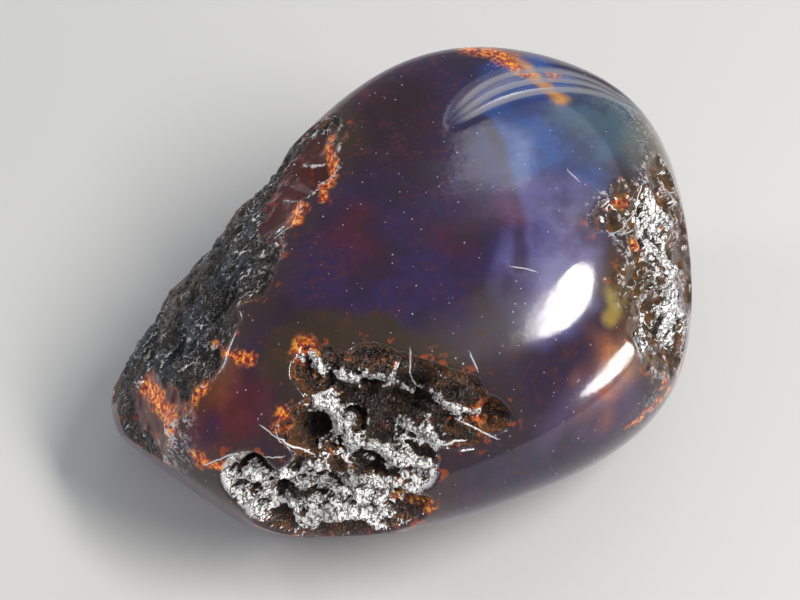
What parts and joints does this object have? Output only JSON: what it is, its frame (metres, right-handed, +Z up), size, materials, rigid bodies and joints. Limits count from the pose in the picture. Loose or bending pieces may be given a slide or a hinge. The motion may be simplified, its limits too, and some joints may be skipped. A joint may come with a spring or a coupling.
{
  "type": "blue amber pebble",
  "caption": "Polished pebble of blue amber with a rough rind left on one side, a broken hollow in front and a chipped edge, lying on a ground flat.",
  "frame": {"origin": "centre of the pebble's box, on the surface that it lies on", "axes": "+X along the pebble to its broad end, -Y to the side with the broken hollow, +Z up"},
  "size_m": [0.048, 0.033, 0.0231],
  "materials": {
    "amber": "polished resin, deep red-brown inside with a blue to violet glow, rough dark rind and dusty breaks"
  },
  "bodies": {
    "root": {"amber": "amber"}
  },
  "joints": []
}
